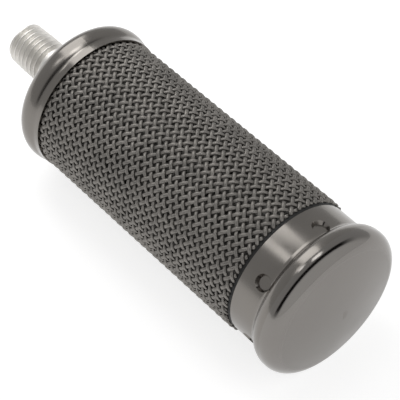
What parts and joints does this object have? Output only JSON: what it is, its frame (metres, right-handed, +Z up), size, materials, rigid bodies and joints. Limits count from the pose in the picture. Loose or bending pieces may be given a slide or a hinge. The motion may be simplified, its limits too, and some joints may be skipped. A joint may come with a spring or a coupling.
{
  "type": "pneumatic muffler",
  "caption": "Exhaust muffler for compressed air: a threaded nipple feeds a perforated core wrapped in felt, inside a woven wire sleeve with a drawn cap and a domed end.",
  "frame": {"origin": "centre of the inlet nipple's open face, on the muffler's axis", "axes": "+X along the axis from the nipple to the dome, +Z up with the muffler lying on its side"},
  "size_m": [0.1399, 0.0472, 0.0472],
  "materials": {
    "plated_steel": "bright zinc-nickel plate over drawn steel",
    "thread_steel": "bright turned and threaded steel",
    "inner_steel": "plain steel, hidden inside",
    "woven_wire": "dull woven steel wire",
    "black_rubber": "matt black",
    "grey_felt": "pressed felt"
  },
  "bodies": {
    "root": {"inlet_nipple": "thread_steel", "inlet_bush": "inner_steel", "upper_cap": "plated_steel", "upper_gasket": "black_rubber", "core_tube": "inner_steel", "inner_felt": "grey_felt", "felt_screen": "inner_steel", "outer_felt": "grey_felt", "support_tube": "inner_steel", "mesh_sleeve": "woven_wire", "lower_gasket": "black_rubber", "seal_ring": "black_rubber", "end_plug": "inner_steel", "end_collar": "plated_steel", "end_dome": "plated_steel"}
  },
  "joints": []
}
